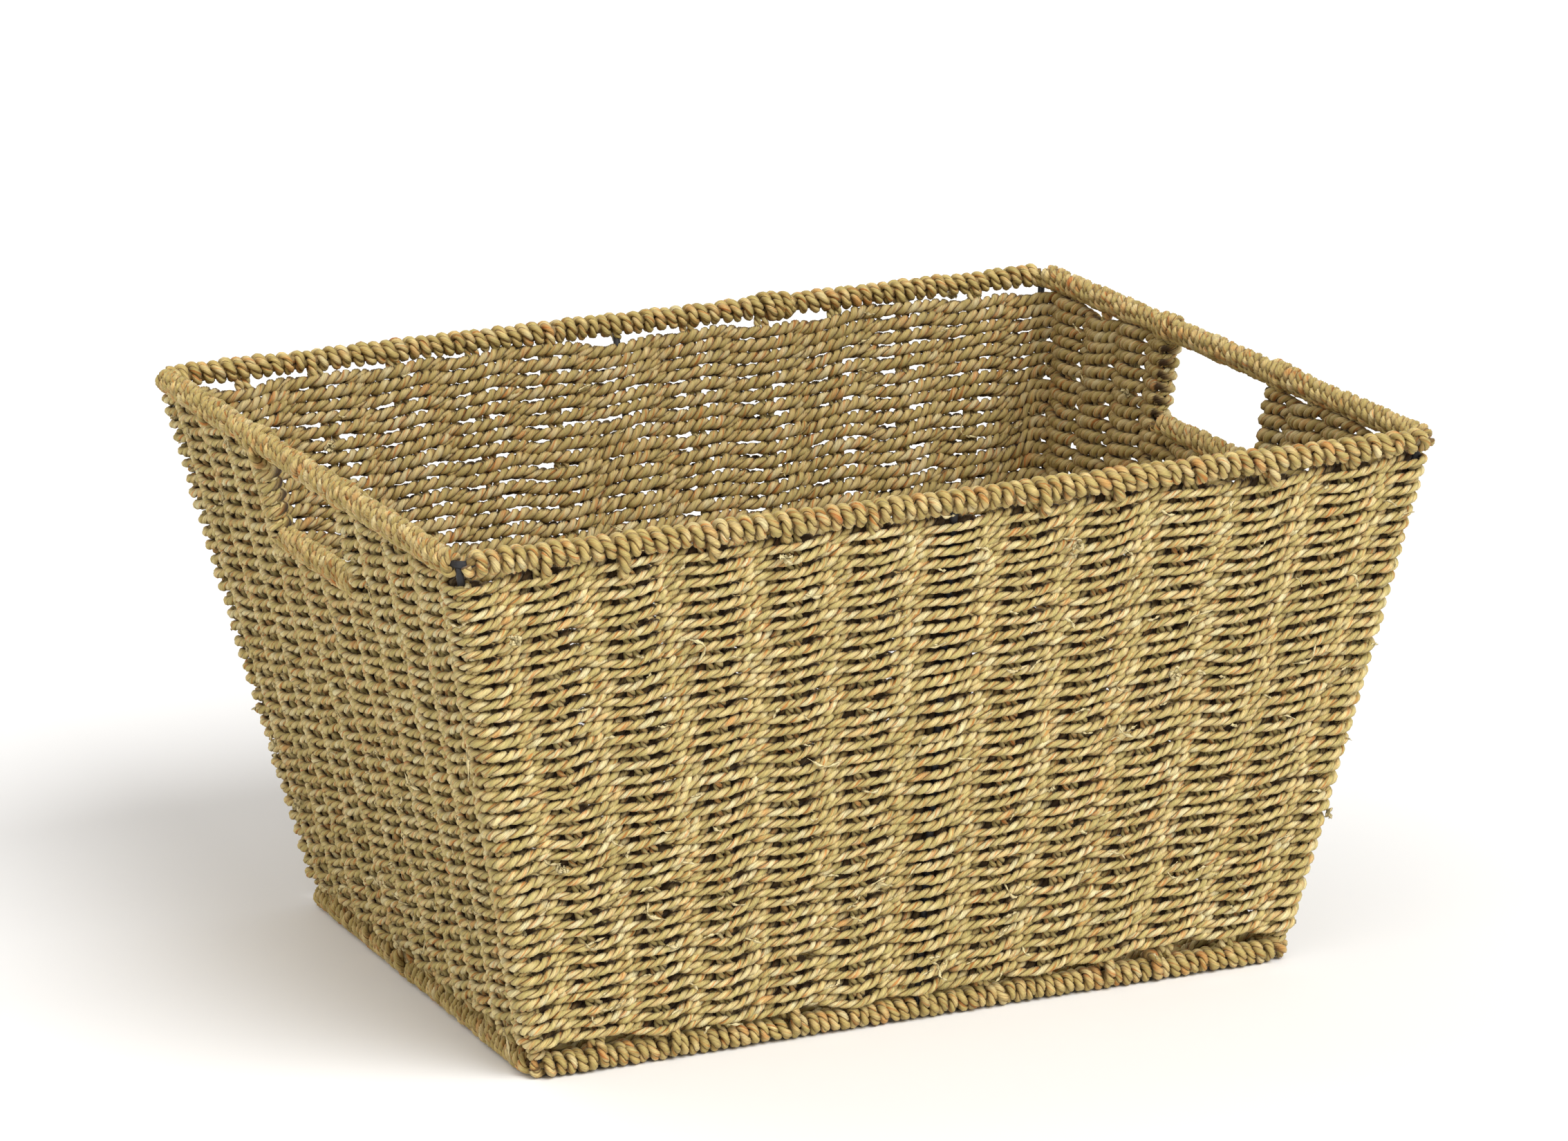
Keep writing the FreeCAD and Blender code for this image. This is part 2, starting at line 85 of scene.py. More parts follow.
WARPS = nodes_named("warp_")
LEFT_STAKES = nodes_named("left_stake_")
RIGHT_STAKES = nodes_named("right_stake_")
LONG_SPACES = len(WARPS) + 2
SHORT_SPACES = len(LEFT_STAKES) + 1

CORNER = 8.0  # radius of the corners, at the middle of the wall
BEND = CORNER * math.pi / 2

# ---------------------------------------------------------------- the cords, in millimetres

WEFT_WIDTH = 3.9
STAKE_WIDTH = 3.9
LASHING_WIDTH = 5.0
BASE_LASHING_WIDTH = 4.5
KNOT_WIDTH = 4.4
POST_WRAP_WIDTH = 3.2

LOBE = 5.2  # how far along a cord the next ply comes round
LASHING_LOBE = 4.3
POST_WRAP_LOBE = 3.6
CORE_LOBE = 14.0

SWING = 3.5  # how far a weft cord goes out and in past the stakes
LIFT = 1.3  # how far it stands above or below its row where the two cords cross
SETTLE = 0.8  # how far the outer cord lies below the inner one
PLUMP_INSIDE = 0.5
SAMPLE = 1.0  # the step along a weft cord's path

ROWS = 36
ROWS_PER_BAND = 3
ROW_PITCH = (WALL_HEAD - WALL_FOOT) / ROWS
FOOT_GAP = 3.2  # how far the first row rides up off the base lashing
CROWDING = 0.04  # how much closer the higher rows lie

LASHING_PITCH = 5.4
BASE_LASHING_PITCH = 4.5
KNOT_PITCH = 4.4
POST_WRAP_PITCH = 3.3
LASHING_REACH = 3.2  # from a wire's middle to the middle of the cord round it
BASE_LASHING_REACH = 3.5
BASE_LASHING_DROP = BASE_Z - BASE_LASHING_WIDTH * 0.54
CORE_WIDTH = 2 * LASHING_REACH + 0.4
BASE_CORE_WIDTH = 6.0
TURN_SAMPLES = 6  # points for each millimetre of lashed wire

# painted shade, kept in each cord's Shade attribute: in the wall's crevices, on its inside, on the lashings'
# core and on the base
CREVICE = 2.2  # how deep in the wall the painted shade begins
CREVICE_FADE = 3.0
INSIDE_SHADE = 0.4
CORE_SHADE = 0.62
BASE_SHADE = 0.2

UP = np.array([0.0, 0.0, 1.0])
IN_X = np.array([1.0, 0.0, 0.0])
IN_Y = np.array([0.0, 1.0, 0.0])


def two_ply_outline(points_per_ply, offset=0.215, half_wide=0.285, half_high=0.375):
    """The outline of two oval plies pressed together, for a cord one wide, starting at a groove."""
    reach = math.acos(-offset / half_wide)
    steps = np.linspace(-reach, reach, points_per_ply + 2)[:-1]
    ply = np.stack([offset + half_wide * np.cos(steps), half_high * np.sin(steps)], 1)
    return np.concatenate([ply, -ply])


FINE_OUTLINE = two_ply_outline(4)
PLAIN_OUTLINE = two_ply_outline(3)
BLADE_OUTLINE = np.array([(0.0, -0.13), (0.5, 0.0), (0.0, 0.13), (-0.5, 0.0)])


def unit(vectors):
    return vectors / np.linalg.norm(vectors, axis=1, keepdims=True)


def evenly(path, steps, closed):
    """The same path again, with its points spaced evenly: steps + 1 of them, or steps if it is closed."""
    if closed:
        path = np.concatenate([path, path[:1]])
    strides = np.linalg.norm(np.diff(path[:, :3], axis=0), axis=1)
    lengths = np.concatenate([[0.0], np.cumsum(strides)])
    wanted = np.linspace(0.0, lengths[-1], steps + 1)
    if closed:
        wanted = wanted[:-1]
    spaced = np.stack([np.interp(wanted, lengths, column) for column in path.T], 1)
    return spaced, lengths[-1]


def path_length(path, closed):
    ends = np.concatenate([path, path[:1]]) if closed else path
    return np.linalg.norm(np.diff(ends[:, :3], axis=0), axis=1).sum()


def shade_in_wall(shade, outer, proud, width):
    """Painted shade: darkens the sides of a wall's cord that face into the wall, and all of it that lies deep
    in the wall, with a lighter painted shade on the inside of the wall.

    outer is how far each point stands out from the cord's middle, and proud how far that is outside the
    wall's.
    """
    facing = np.clip(outer / (0.4 * width), -1, 1)
    depth = proud + outer
    shade = shade + (1 + facing) / 2 * np.clip((CREVICE - depth) / CREVICE_FADE, 0, 1)
    shade = shade + (1 - facing) / 2 * np.clip((CREVICE + depth) / CREVICE_FADE, 0, 1)
    return np.maximum(shade, INSIDE_SHADE * np.clip((1 - depth) / 2, 0, 1))


class CordMesh:
    """Collects the cords of one piece, and builds them as one mesh."""

    def __init__(self, seed, outline=FINE_OUTLINE, rings_per_lobe=5):
        self.rng = np.random.default_rng(seed)
        self.outline = outline
        self.rings_per_lobe = rings_per_lobe
        self.grooves = (0, len(outline) // 2)
        self.points, self.quads, self.caps = [], [], []
        self.fibre, self.shade, self.count = [], [], 0

    def add(
        self, path, up, width, closed=False, lobe=LOBE, taper=0.0, shade=0.0, thick=1.0,
        within=None, neighbours=None,
    ):
        """A left-handed two-ply cord along path (n, 3), where up (n, 3) says which way is up at each point.

        shade, from 0 to 1, is how dark the cord is painted, mostly as painted shade, and thick how swollen it
        is: one number, or one for each
        point. within is for a cord of a wall: how far outside the middle of the wall it lies, and which way
        is out. The sides of it that face into the wall then get painted shade. neighbours is for a cord that
        lies
        between turns of itself: which way those are, so that it gets painted shade on those sides.
        """
        lobes = max(2, round(path_length(path, closed) / lobe))
        steps = lobes * self.rings_per_lobe
        nowhere = np.zeros_like(path)
        proud, outward = (nowhere[:, 0], nowhere) if within is None else within
        beside = nowhere if neighbours is None else neighbours
        numbers = [np.zeros(len(path)) + value for value in (shade, thick, proud)]
        columns = np.concatenate([path, up, np.stack(numbers, 1), outward, beside], 1)
        columns, length = evenly(columns, steps, closed)
        middle, up, shade, thick, proud, outward, beside = np.split(columns, [3, 6, 7, 8, 9, 12], 1)
        if closed:
            along = unit(np.roll(middle, -1, 0) - np.roll(middle, 1, 0))
        else:
            along = unit(np.gradient(middle, axis=0))
        up = unit(up - (up * along).sum(1, keepdims=True) * along)
        side = np.cross(along, up)
        rings, around = len(middle), len(self.outline)
        run = np.arange(rings) / steps
        turn, swell = self.unevenly(lobes, run)
        swell = swell * thick[:, 0]
        if taper:
            ends = np.minimum(run, 1 - run) * length / taper
            swell = swell * np.clip(ends, 0.15, 1.0) ** 0.5
        shape = self.outline[None] * (width * swell)[:, None, None]
        cos, sin = np.cos(turn)[:, None], np.sin(turn)[:, None]
        out = shape[:, :, 0] * cos - shape[:, :, 1] * sin
        high = shape[:, :, 0] * sin + shape[:, :, 1] * cos
        away = out[:, :, None] * side[:, None] + high[:, :, None] * up[:, None]
        self.points.append((middle[:, None] + away).reshape(-1, 3))
        shade = np.repeat(shade, around, 1)
        # painted shade where the cord faces into the wall or lies deep in it
        if within is not None:
            shade = shade_in_wall(shade, (away * outward[:, None]).sum(2), proud, width)
        # painted shade on the sides that face the cord's neighbouring turns
        facing = np.abs((away * beside[:, None]).sum(2)) / (0.5 * width)
        shade = shade + 0.6 * np.clip((facing - 0.45) / 0.55, 0, 1)
        self.shade.append(np.clip(shade, 0, 1).reshape(-1))
        self.skin(rings, closed, length / steps)

    def unevenly(self, lobes, run):
        """The angle of the plies and the thickness of the cord at each ring, both a little uneven."""
        rng = self.rng
        turn = math.pi * lobes * run + rng.uniform(0, TAU)
        swell = np.ones(len(run))
        for waves in (lobes // 9 + 1, lobes // 4 + 1, lobes // 2 + 1):
            turn = turn + rng.uniform(0.05, 0.25) * np.sin(TAU * (waves * run + rng.random()))
            swell = swell + rng.uniform(0.01, 0.045) * np.sin(TAU * (waves * run + rng.random()))
        return turn, swell * rng.uniform(0.94, 1.06)

    def skin(self, rings, closed, step):
        """The faces between the rings, with their fibre coordinates, and the two end caps of an open cord."""
        around = len(self.outline)
        ring0 = np.arange(rings if closed else rings - 1)[:, None]
        ring1 = (ring0 + 1) % rings
        spot0 = np.arange(around)[None]
        spot1 = (spot0 + 1) % around
        here, ahead = ring0 * around, ring1 * around
        corners = [here + spot0, ahead + spot0, ahead + spot1, here + spot1]
        self.quads.append(self.count + np.stack(corners, 2).reshape(-1, 4))
        u0 = self.rng.uniform(0, 900) + ring0 * step + 0 * spot0
        u1 = u0 + step
        v0 = spot0 * 2 / around + 0 * ring0
        v1 = v0 + 2 / around
        self.fibre.append(np.stack([u0, v0, u1, v0, u1, v1, u0, v1], 2).reshape(-1, 4, 2))
        if not closed:
            last = (rings - 1) * around
            self.caps.append(self.count + np.arange(around))
            self.caps.append(self.count + last + np.arange(around)[::-1])
        self.count += rings * around

    def build(self, name, nodes, material):
        """The finished piece, riding on the one body and standing for those CAD nodes."""
        points = np.concatenate(self.points) * MM
        quads = np.concatenate(self.quads)
        around = len(self.outline)
        caps = np.array(self.caps, int).reshape(-1, around)
        corners = np.concatenate([quads.reshape(-1), caps.reshape(-1)])
        cap_starts = len(quads) * 4 + np.arange(len(caps)) * around
        starts = np.concatenate([np.arange(len(quads)) * 4, cap_starts])
        mesh = bpy.data.meshes.new(name)
        mesh.vertices.add(len(points))
        mesh.vertices.foreach_set("co", points.astype(np.float32).reshape(-1))
        mesh.loops.add(len(corners))
        mesh.loops.foreach_set("vertex_index", corners.astype(np.int32))
        mesh.polygons.add(len(starts))
        mesh.polygons.foreach_set("loop_start", starts.astype(np.int32))
        mesh.update(calc_edges=True)
        mark_grooves(mesh, np.isin(np.arange(len(points)) % around, self.grooves))
        fibre = np.concatenate([*(cells.reshape(-1, 2) for cells in self.fibre), np.zeros((caps.size, 2))])
        shade = mesh.attributes.new("Shade", "FLOAT", "POINT")
        shade.data.foreach_set("value", np.concatenate(self.shade).astype(np.float32))
        add_uv(mesh, "OFBake", strip_atlas(len(quads) // around, around, caps.size))
        add_uv(mesh, "Fibre", fibre)
        piece = bpy.data.objects.new(name, mesh)
        bpy.context.scene.collection.objects.link(piece)
        mesh.materials.append(material)
        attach(piece, "root")
        if nodes:
            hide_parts(*nodes)
        return piece


def mark_grooves(mesh, is_groove):
    """Keeps the crease sharp where the two plies meet."""
    ends = np.empty(len(mesh.edges) * 2, np.int32)
    mesh.edges.foreach_get("vertices", ends)
    ends = ends.reshape(-1, 2)
    sharp = mesh.attributes.new("sharp_edge", "BOOLEAN", "EDGE")
    sharp.data.foreach_set("value", is_groove[ends[:, 0]] & is_groove[ends[:, 1]])


def add_uv(mesh, name, corners):
    layer = mesh.uv_layers.new(name=name, do_init=False)
    layer.uv.foreach_set("vector", corners.astype(np.float32).reshape(-1))


def strip_atlas(ring_steps, around, cap_corners):
    """A layout that gives every stretch between two rings its own cell, in rows across the square."""
    cells_across_per_row = 10.6
    rows = max(1, math.ceil(math.sqrt(ring_steps / cells_across_per_row)))
    across = math.ceil(ring_steps / rows) + 1
    step = np.arange(ring_steps)
    left = (step % across) / across
    bottom = (step // across) / rows
    high = 0.94 / rows / around
    spot = np.arange(around)
    u0 = left[:, None] + 0 * spot
    u1 = u0 + 1 / across
    v0 = bottom[:, None] + spot * high
    v1 = v0 + high
    cells = np.stack([u0, v0, u1, v0, u1, v1, u0, v1], 2).reshape(-1, 2)
    angle = np.arange(cap_corners) * TAU / around
    spare = 0.4 / across
    caps = np.stack([1 - spare + spare * 0.9 * np.cos(angle), 1 - spare + spare * 0.9 * np.sin(angle)], 1)
    return np.concatenate([cells, caps])


# ---------------------------------------------------------------- the course of the walls

def half_sides(height):
    return (
        BASE_HALF_X + LEAN_X * (height - BASE_Z),
        BASE_HALF_Y + LEAN_Y * (height - BASE_Z),
    )


def loop_length(half_x, half_y):
    return 4 * (half_x - CORNER) + 4 * (half_y - CORNER) + 4 * BEND


def follow_loop(places, half_x, half_y):
    """Points and outward directions at distances along a rounded rectangle.

    It runs anticlockwise, seen from above, from the middle of the left wall.
    """
    places = np.mod(places, loop_length(half_x, half_y))
    points, normals = np.zeros((len(places), 2)), np.zeros((len(places), 2))
    pen, travelled, heading = np.array([-half_x, 0.0]), 0.0, -math.pi / 2
    flat_x, flat_y = half_x - CORNER, half_y - CORNER
    for run in (flat_y, 2 * flat_x, 2 * flat_y, 2 * flat_x, flat_y + 1):
        direction = np.array([math.cos(heading), math.sin(heading)])
        outward = np.array([direction[1], -direction[0]])
        here = (places >= travelled) & (places <= travelled + run)
        points[here] = pen + (places[here] - travelled)[:, None] * direction
        normals[here] = outward
        pen = pen + run * direction
        travelled += run
        centre = pen - CORNER * outward
        here = (places > travelled) & (places < travelled + BEND)
        angle = math.atan2(outward[1], outward[0]) + (places[here] - travelled) / CORNER
        normals[here] = np.stack([np.cos(angle), np.sin(angle)], 1)
        points[here] = centre + CORNER * normals[here]
        pen = centre + CORNER * direction
        travelled += BEND
        heading += math.pi / 2
    return points, normals


# the uprights are numbered along the loop, and every one but these is a stake, which sways a little
UPRIGHTS = 2 * (LONG_SPACES + SHORT_SPACES)
SHORT_HALF = (SHORT_SPACES - 1) // 2
CORNER_POSTS = [
    SHORT_HALF,
    SHORT_HALF + LONG_SPACES,
    SHORT_HALF + LONG_SPACES + SHORT_SPACES,
    SHORT_HALF + 2 * LONG_SPACES + SHORT_SPACES,
]
MIDDLE_WIRES = [CORNER_POSTS[0] + LONG_SPACES // 2, CORNER_POSTS[2] + LONG_SPACES // 2]
FIXED = CORNER_POSTS + MIDDLE_WIRES

SWAY_RNG = np.random.default_rng(11)
SWAY_SIZE = SWAY_RNG.uniform(0.3, 1.8, UPRIGHTS)
SWAY_START = SWAY_RNG.uniform(0, TAU, UPRIGHTS)
SWAY_REACH = 45.0


def upright_places(height):
    """How far along the loop each upright stands: stakes, corner posts and middle wires."""
    half_x, half_y = half_sides(height)
    flat_x, flat_y = half_x - CORNER, half_y - CORNER
    long_steps = half_x * (2 * np.arange(1, LONG_SPACES) / LONG_SPACES - 1)
    short_steps = half_y * (2 * np.arange(1, SHORT_SPACES) / SHORT_SPACES - 1)
    places, start = list(short_steps[short_steps > 0]), flat_y
    for flat, steps in ((flat_x, long_steps), (flat_y, short_steps), (flat_x, long_steps)):
        places.append(start + BEND / 2)
        places += list(start + BEND + flat + steps)
        start += BEND + 2 * flat
    places.append(start + BEND / 2)
    places += list(start + BEND + flat_y + short_steps[short_steps < 0])
    places = np.array(places)
    is_stake = np.ones(UPRIGHTS, bool)
    is_stake[FIXED] = False
    return places + is_stake * SWAY_SIZE * np.sin(height / SWAY_REACH + SWAY_START)


def on_wall(places, height, proud=0.0, lift=0.0):
    """Points on the wall's middle surface at that height, moved out by proud and up by lift."""
    points, normals = follow_loop(places, *half_sides(height))
    away = np.zeros(len(places)) + proud + LEAN * lift
    heights = np.zeros(len(places)) + height + lift
    return np.concatenate([points + normals * away[:, None], heights[:, None]], 1), normals


WAVE_RNG = np.random.default_rng(5)
WAVES = [
    (
        round(WAVE_RNG.uniform(3, 34)),
        WAVE_RNG.uniform(8, 60),
        WAVE_RNG.uniform(0, TAU),
        WAVE_RNG.uniform(0.4, 1),
    )
    for _ in range(14)
]
SLUMP_REACH = 24.0  # how far below the rim the rows hang slack
RISE_REACH = 36.0  # how far above the base lashing they still ride up
GAPE_HEIGHT = 3.2  # the widest gap over the base lashing, near the front wall's right end
GAPE_AT = 0.346
GAPE_WIDTH = 0.032


def wave(turns, count, start=0.0):
    """A sine wave with that many crests in a whole turn round the basket."""
    return np.sin(TAU * count * turns + start)


def unevenness(turns, height):
    """How far the weave strays up or down: slow waves shared by neighbouring rows, stronger near the rim."""
    strays = sum(size * wave(turns, count, height / reach + start) for count, reach, start, size in WAVES)
    nearness = np.clip((height - WALL_FOOT) / (WALL_HEAD - WALL_FOOT), 0, 1)
    under_rim = np.clip(1 - (WALL_HEAD - height) / SLUMP_REACH, 0, 1)
    over_foot = np.clip(1 - (height - WALL_FOOT) / RISE_REACH, 0, 1)
    slump = under_rim * (1.1 + 1.5 * wave(turns, 13, 1) * wave(turns, 5))
    heaves = 1.5 * wave(turns, 11, 2) * wave(turns, 4, 1) + 1.2 * wave(turns, 3)
    gape = GAPE_HEIGHT * np.exp(-(((turns - GAPE_AT) / GAPE_WIDTH) ** 2))
    rise = over_foot * (heaves + gape)
    return strays * (0.24 + 0.18 * nearness**2) - slump + rise


def wander(rng, turns, counts, least, most):
    """A sum of waves, each of a random size and start."""
    total = np.zeros_like(turns)
    for count in counts:
        total += rng.uniform(least, most) * np.sin(TAU * (count * turns + rng.random()))
    return total


def row_wander(rng, turns):
    """A row's own small strays."""
    return wander(rng, turns, (7, 17, 29, 45), 0.1, 0.36)


def cord_wander(rng, turns):
    """One cord's own small strays, apart from the other cord of its row."""
    return wander(rng, turns, (13, 31, 53), 0.1, 0.32)


def twist_wander(rng, turns):
    """How far ahead of the stakes, or behind them, a row's twist runs here and there, as an angle."""
    return wander(rng, turns, (9, 20, 37), 0.04, 0.17)


def settling(rng, turns):
    """How far a row's two cords are out of level with each other, here and there."""
    slow = np.sin(TAU * (rng.integers(3, 12) * turns + rng.random()))
    quick = np.sin(TAU * (rng.integers(12, 30) * turns))
    return SETTLE * (1 + 0.3 * (slow + quick))


def twine(angle, settle=SETTLE):
    """How far out and how far up a weft cord stands, where each stake is half a turn after the last."""
    out = SWING * (np.cos(angle) + 0.07 * np.cos(3 * angle)) / 1.07
    up = LIFT * (np.sin(angle) - 0.15 * np.sin(3 * angle)) / 1.15 - settle * np.cos(angle)
    return out, up


def at_wires(angle):
    """Swells a cord where it goes round a thin wire instead of a stake, so that the turns there close up."""
    thick = np.ones_like(angle)
    for uprights, swell, reach in ((CORNER_POSTS, 0.28, 0.35), (MIDDLE_WIRES, 0.2, 0.45)):
        for upright in uprights:
            thick += swell * np.clip(1 - np.abs(angle / math.pi - upright) / reach, 0, 1)
    return thick


def plumpness(angle):
    """Cords lie slacker, and so thicker, on the inside of the wall."""
    return 1 + PLUMP_INSIDE * np.clip(0.5 - np.cos(angle), 0, 1)


def level(normals):
    """Outward directions in three dimensions."""
    return np.concatenate([normals, np.zeros((len(normals), 1))], 1)


def whole_row(cords, height):
    """Both cords of a row that goes right round the basket."""
    half_x, half_y = half_sides(height)
    length = loop_length(half_x, half_y)
    places = np.arange(0, length, SAMPLE)
    uprights = upright_places(height)
    stations = np.concatenate([uprights[-1:] - length, uprights, uprights[:1] + length])
    turns = places / length
    angle = np.interp(places, stations, np.arange(-1, UPRIGHTS + 1)) * math.pi
    angle = angle + twist_wander(cords.rng, turns)
    strays = unevenness(turns, height) + row_wander(cords.rng, turns)
    settle = settling(cords.rng, turns)
    for cord in range(2):
        out, up = twine(angle + cord * math.pi, settle)
        path, normals = on_wall(places, height, out, up + strays + cord_wander(cords.rng, turns))
        ups = np.tile(UP, (len(path), 1))
        thick = at_wires(angle) * plumpness(angle + cord * math.pi)
        cords.add(path, ups, WEFT_WIDTH, closed=True, thick=thick, within=(out, level(normals)))


def split_row(cords, height, first_post, last_post):
    """A row that turns back round the posts of the slots: one cord out, round and back as the other."""
    half_x, half_y = half_sides(height)
    length = loop_length(half_x, half_y)
    uprights = upright_places(height)
    clear = 12.0
    between = uprights[(uprights > first_post + clear) & (uprights < last_post - clear)]
    stations = np.concatenate([[first_post], between, [last_post]])
    places = np.linspace(first_post, last_post, round((last_post - first_post) / SAMPLE))
    angle = np.interp(places, stations, np.arange(len(stations))) * math.pi
    turns = places / length
    ease = np.clip(np.minimum(places - first_post, last_post - places) / 25, 0.25, 1)
    strays = unevenness(turns, height) * ease + row_wander(cords.rng, turns)
    out, up = twine(angle)
    there, normals = on_wall(places, height, out, up + strays)
    back_out, up = twine(angle + math.pi)
    back, _ = on_wall(places, height, back_out, up + strays)
    path = there_and_back(there, back)
    turn = (len(path) - 2 * len(there)) // 2
    bare = np.full(turn, 2 * SWING)
    proud = np.concatenate([out, bare, back_out[::-1], bare])
    normals = level(normals)
    far_end, near_end = np.tile(normals[-1], (turn, 1)), np.tile(normals[0], (turn, 1))
    outward = np.concatenate([normals, far_end, normals[::-1], near_end])
    edge = np.minimum(np.abs(path[:, 1] - SLOT_POST_Y), np.abs(path[:, 1] + SLOT_POST_Y))
    thick = 1 + 0.22 * np.clip(1 - edge / 8, 0, 1) * (np.abs(path[:, 1]) < SLOT_POST_Y + 8)
    thick = thick + PLUMP_INSIDE * np.clip(0.5 - proud / SWING, 0, 1)
    ups = np.tile(UP, (len(path), 1))
    cords.add(path, ups, WEFT_WIDTH, closed=True, thick=thick, within=(proud, outward))


def there_and_back(there, back):
    """Joins two cords of a row at both ends."""
    far_turn = turn_back(there[-1], back[-1], there[-1] - there[-3])
    near_turn = turn_back(back[0], there[0], there[0] - there[2])
    return np.concatenate([there, far_turn, back[::-1], near_turn])


def turn_back(start, end, ahead):
    """The half circle that takes a cord round a post, from one side of the wall to the other."""
    centre = (start + end) / 2
    arm = start - centre
    ahead = ahead / np.linalg.norm(ahead) * np.linalg.norm(arm)
    swing = np.linspace(0, math.pi, 12)[1:-1, None]
    return centre + arm * np.cos(swing) + ahead * np.sin(swing)


# ---------------------------------------------------------------- materials

def linear(red, green, blue):
    """A colour given as screen values of 0 to 255, as the shader wants it."""
    def one(value):
        value /= 255
        return value / 12.92 if value <= 0.04045 else ((value + 0.055) / 1.055) ** 2.4
    return (one(red), one(green), one(blue), 1.0)


class Nodes:
    """A short way to write a node material."""

    def __init__(self, name):
        self.material = bpy.data.materials.new(name)
        self.material.use_nodes = True
        self.tree = self.material.node_tree
        self.shader = self.tree.nodes["Principled BSDF"]

    def new(self, kind, **settings):
        node = self.tree.nodes.new(kind)
        for key, value in settings.items():
            setattr(node, key, value)
        return node

    def link(self, source, target):
        self.tree.links.new(source, target)

    def feed(self, socket, value):
        if isinstance(value, bpy.types.NodeSocket):
            self.link(value, socket)
        else:
            socket.default_value = value

    def math(self, operation, *values):
        node = self.new("ShaderNodeMath", operation=operation)
        for socket, value in zip(node.inputs, values):
            self.feed(socket, value)
        return node.outputs[0]

    def vector(self, x=0.0, y=0.0, z=0.0):
        node = self.new("ShaderNodeCombineXYZ")
        for socket, value in zip(node.inputs, (x, y, z)):
            self.feed(socket, value)
        return node.outputs[0]

    def noise(self, vector, scale=1.0, detail=2.0, roughness=0.5):
        node = self.new("ShaderNodeTexNoise")
        self.feed(node.inputs["Vector"], vector)
        self.feed(node.inputs["Scale"], scale)
        self.feed(node.inputs["Detail"], detail)
        self.feed(node.inputs["Roughness"], roughness)
        return node.outputs[0]

    def ramp(self, factor, stops):
        node = self.new("ShaderNodeValToRGB")
        band = node.color_ramp
        while len(band.elements) < len(stops):
            band.elements.new(0.5)
        for element, (place, colour) in zip(band.elements, stops):
            element.position = place
            element.color = colour
        self.feed(node.inputs[0], factor)
        return node.outputs[0]

    def span(self, value, low, high, to_low=0.0, to_high=1.0):
        node = self.new("ShaderNodeMapRange", interpolation_type="SMOOTHSTEP")
        for socket, number in zip(node.inputs, (value, low, high, to_low, to_high)):
            self.feed(socket, number)
        return node.outputs[0]

    def mix(self, factor, first, second, blend="MIX"):
        node = self.new("ShaderNodeMix", data_type="RGBA", blend_type=blend)
        colours = [socket for socket in node.inputs if socket.type == "RGBA"]
        self.feed(node.inputs[0], factor)
        self.feed(colours[0], first)
        self.feed(colours[1], second)
        return next(socket for socket in node.outputs if socket.type == "RGBA")


PALE = linear(231, 221, 172)
STRAW = linear(224, 205, 144)
KHAKI = linear(205, 187, 121)
OLIVE = linear(192, 177, 112)
TAN = linear(212, 168, 102)
RUST = linear(180, 112, 58)
# painted shade: UMBER darkens the crease between the plies
UMBER = linear(104, 72, 38)
# painted shade: DEEP is near black where the Shade attribute is high
DEEP = linear(44, 29, 14)
STAINED = linear(236, 164, 108)
BLEACHED = linear(252, 240, 190)
# painted shade: the dimming that the Shade attribute asks for
DIMMED = linear(150, 122, 86)
WHITE = (1.0, 1.0, 1.0, 1.0)
# a warm painted shade over all the lashings
LASHING_PAINTED_SHADE = (1.0, 0.965, 0.91, 1.0)
CORD_TONES = [
    (0.0, TAN),
    (0.16, STRAW),
    (0.34, OLIVE),
    (0.5, KHAKI),
    (0.64, STRAW),
    (0.84, PALE),
    (1.0, OLIVE),
]


